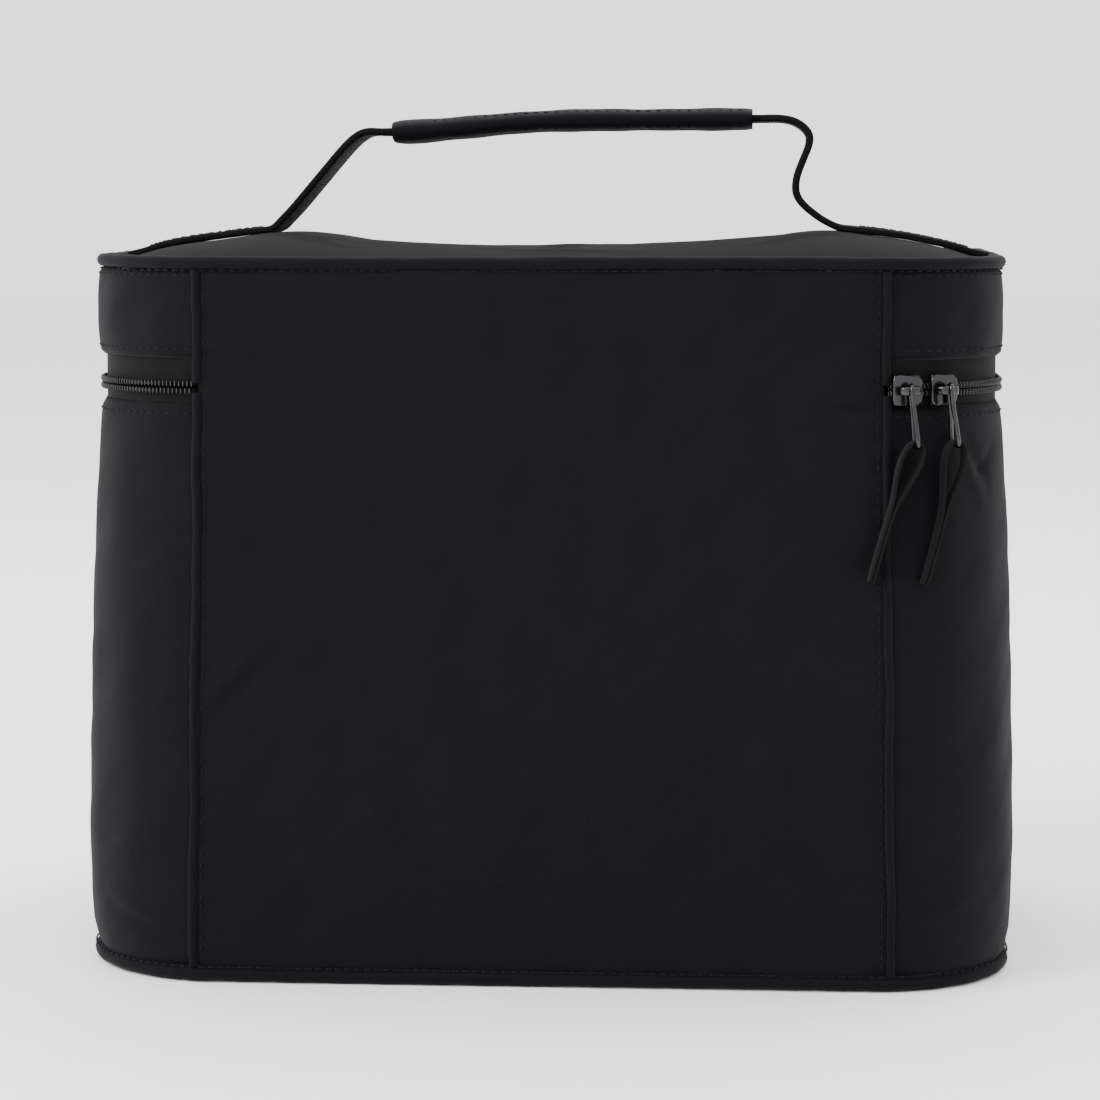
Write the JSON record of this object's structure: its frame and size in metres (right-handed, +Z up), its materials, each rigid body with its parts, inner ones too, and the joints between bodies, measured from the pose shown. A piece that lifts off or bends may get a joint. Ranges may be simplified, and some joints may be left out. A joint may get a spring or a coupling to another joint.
{
  "type": "insulated lunch bag",
  "caption": "Soft insulated lunch bag with a zip-round lid on a cloth hinge, piped edges, a webbing handle with a padded grip, and zip sliders with ribbon pulls.",
  "frame": {"origin": "centre of the base, on the floor", "axes": "+Z up, +X along the length, -Y towards the back panel that carries the lid's cloth hinge"},
  "size_m": [0.2616, 0.1701, 0.2496],
  "materials": {
    "shell_fabric": "black polyester twill, matt with a slight sheen",
    "base_fabric": "black coated polyester, matt",
    "lining": "silver-grey film lining, satin",
    "foam": "white closed-cell foam, matt",
    "board": "black plastic stiffener, matt",
    "binding": "black woven binding tape",
    "zip_tape": "black herringbone zip tape",
    "zip_coil": "black nylon coil, satin",
    "webbing": "black woven polyester webbing and ribbon",
    "black_nickel": "black nickel plated zinc, glossy"
  },
  "bodies": {
    "body": {"side_front_panel": "shell_fabric", "back_panel": "shell_fabric", "base_panel": "base_fabric", "base_piping": "binding", "base_board": "board", "wrap_foam": "foam", "back_foam": "foam", "base_foam": "foam", "body_liner": "lining", "body_rim_binding": "binding", "zip_tape_lower": "zip_tape", "zip_coil_lower": "zip_coil", "seam_ridge_left": "shell_fabric", "seam_ridge_right": "shell_fabric"},
    "lid": {"lid_skirt": "shell_fabric", "lid_back_panel": "shell_fabric", "lid_top_panel": "shell_fabric", "lid_piping": "binding", "lid_top_foam": "foam", "lid_wall_foam": "foam", "lid_liner": "lining", "lid_rim_binding": "binding", "zip_tape_upper": "zip_tape", "zip_coil_upper": "zip_coil", "zip_tape_upper_end_right": "zip_tape", "zip_tape_upper_end_left": "zip_tape", "zip_coil_upper_end_right": "zip_coil", "zip_coil_upper_end_left": "zip_coil", "lid_ridge_left": "shell_fabric", "lid_ridge_right": "shell_fabric", "strap_end_left": "webbing", "strap_end_right": "webbing"},
    "handle": {"handle_strap": "webbing", "strap_leg_left": "webbing", "strap_leg_right": "webbing", "grip_foam": "foam", "grip_sleeve": "shell_fabric"},
    "slider_1": {"slider_1": "black_nickel"},
    "slider_2": {"slider_2": "black_nickel"},
    "pull_ring_1": {"pull_ring_1": "black_nickel"},
    "pull_ring_2": {"pull_ring_2": "black_nickel"},
    "pull_tab_1": {"pull_tab_1": "webbing"},
    "pull_tab_2": {"pull_tab_2": "webbing"}
  },
  "joints": [
    {"name": "lid_hinge", "type": "hinge", "parent": "body", "child": "lid", "pos_m": [0, -0.08, 0.17], "axis": [1, 0, 0], "range_deg": [0, 100], "deforming": ["zip_tape_upper_end_right", "zip_tape_upper_end_left", "zip_coil_upper_end_right", "zip_coil_upper_end_left"]},
    {"name": "handle_fold", "type": "hinge", "parent": "lid", "child": "handle", "pos_m": [0, 0, 0.2148], "axis": [1, 0, 0], "range_deg": [-60, 60], "deforming": ["strap_leg_left", "strap_leg_right"]},
    {"name": "slider_1_travel", "type": "hinge", "parent": "body", "child": "slider_1", "pos_m": [0.09, -0.04, 0.17], "axis": [0, 0, 1], "range_deg": [0, 1]},
    {"name": "slider_2_travel", "type": "hinge", "parent": "body", "child": "slider_2", "pos_m": [0.09, -0.04, 0.17], "axis": [0, 0, 1], "range_deg": [0, 50]},
    {"name": "pull_ring_1_swing", "type": "hinge", "parent": "slider_1", "child": "pull_ring_1", "pos_m": [0.10283, -0.08303, 0.17], "axis": [0.9583, 0.2857, 0], "range_deg": [-80, 0]},
    {"name": "pull_ring_2_swing", "type": "hinge", "parent": "slider_2", "child": "pull_ring_2", "pos_m": [0.11379, -0.07808, 0.17], "axis": [0.848, 0.5299, 0], "range_deg": [-80, 0]},
    {"name": "pull_tab_1_swing", "type": "hinge", "parent": "pull_ring_1", "child": "pull_tab_1", "pos_m": [0.10283, -0.08303, 0.1547], "axis": [0.2857, -0.9583, 0], "range_deg": [-40, 5]},
    {"name": "pull_tab_2_swing", "type": "hinge", "parent": "pull_ring_2", "child": "pull_tab_2", "pos_m": [0.11379, -0.07808, 0.1547], "axis": [0.5299, -0.848, 0], "range_deg": [-8, 55]}
  ]
}
